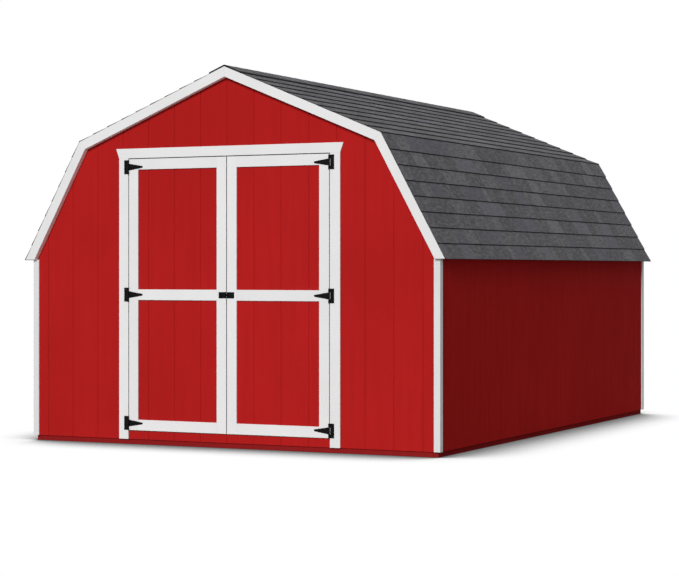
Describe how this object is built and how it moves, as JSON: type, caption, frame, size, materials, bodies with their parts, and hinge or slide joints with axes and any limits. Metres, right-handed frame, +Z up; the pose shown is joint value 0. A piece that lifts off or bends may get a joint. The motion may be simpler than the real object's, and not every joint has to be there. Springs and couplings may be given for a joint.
{
  "type": "gambrel barn shed",
  "caption": "Small storage barn with a gambrel shingle roof, grooved red siding, white trim and a pair of outward swinging doors on strap hinges.",
  "frame": {"origin": "on the ground, under the middle of the footprint", "axes": "+X to the right along the door front, +Y from the front to the back, +Z up"},
  "size_m": [3.194, 4.3712, 2.5558],
  "materials": {
    "red_siding": "painted, satin",
    "white_trim": "painted, satin",
    "raw_lumber": "planed, bare",
    "sheathing": "pressed strand board, bare",
    "floor_board": "pressed strand board, bare",
    "shingles": "mineral granules, matt",
    "black_hardware": "black powder coat"
  },
  "bodies": {
    "barn": {"floor_side_rims": "red_siding", "floor_joists": "raw_lumber", "floor_deck": "floor_board", "side_wall_plates": "raw_lumber", "side_wall_studs": "raw_lumber", "end_wall_plates": "raw_lumber", "end_wall_studs": "raw_lumber", "door_jack_studs": "raw_lumber", "door_header_beam": "raw_lumber", "gable_studs": "raw_lumber", "lower_rafters": "raw_lumber", "upper_rafters_left": "raw_lumber", "upper_rafters_right": "raw_lumber", "truss_gussets": "sheathing", "front_siding_left": "red_siding", "front_siding_right": "red_siding", "front_siding_middle": "red_siding", "back_siding": "red_siding", "left_siding": "red_siding", "right_siding": "red_siding", "roof_deck_lower": "sheathing", "roof_deck_upper": "sheathing", "shingles_lower": "shingles", "shingles_upper": "shingles", "ridge_cap": "shingles", "rake_boards_lower": "white_trim", "rake_boards_upper_left": "white_trim", "rake_boards_upper_right": "white_trim", "corner_boards_ends": "white_trim", "corner_boards_sides": "white_trim", "door_jamb_boards": "white_trim", "door_header_board": "white_trim", "hinge_plates": "black_hardware"},
    "left_door": {"left_door_panel": "red_siding", "left_door_stiles": "white_trim", "left_door_rails": "white_trim", "left_door_ledges": "raw_lumber", "left_door_hinge_straps": "black_hardware", "left_door_latch": "black_hardware"},
    "right_door": {"right_door_panel": "red_siding", "right_door_stiles": "white_trim", "right_door_rails": "white_trim", "right_door_ledges": "raw_lumber", "right_door_hinge_straps": "black_hardware", "right_door_latch": "black_hardware"}
  },
  "joints": [
    {"name": "left_door_swing", "type": "hinge", "parent": "barn", "child": "left_door", "pos_m": [-0.764, -2.1601, 1.02], "axis": [0, 0, -1], "range_deg": [0, 170]},
    {"name": "right_door_swing", "type": "hinge", "parent": "barn", "child": "right_door", "pos_m": [0.764, -2.1601, 1.02], "axis": [0, 0, 1], "range_deg": [0, 170]}
  ]
}
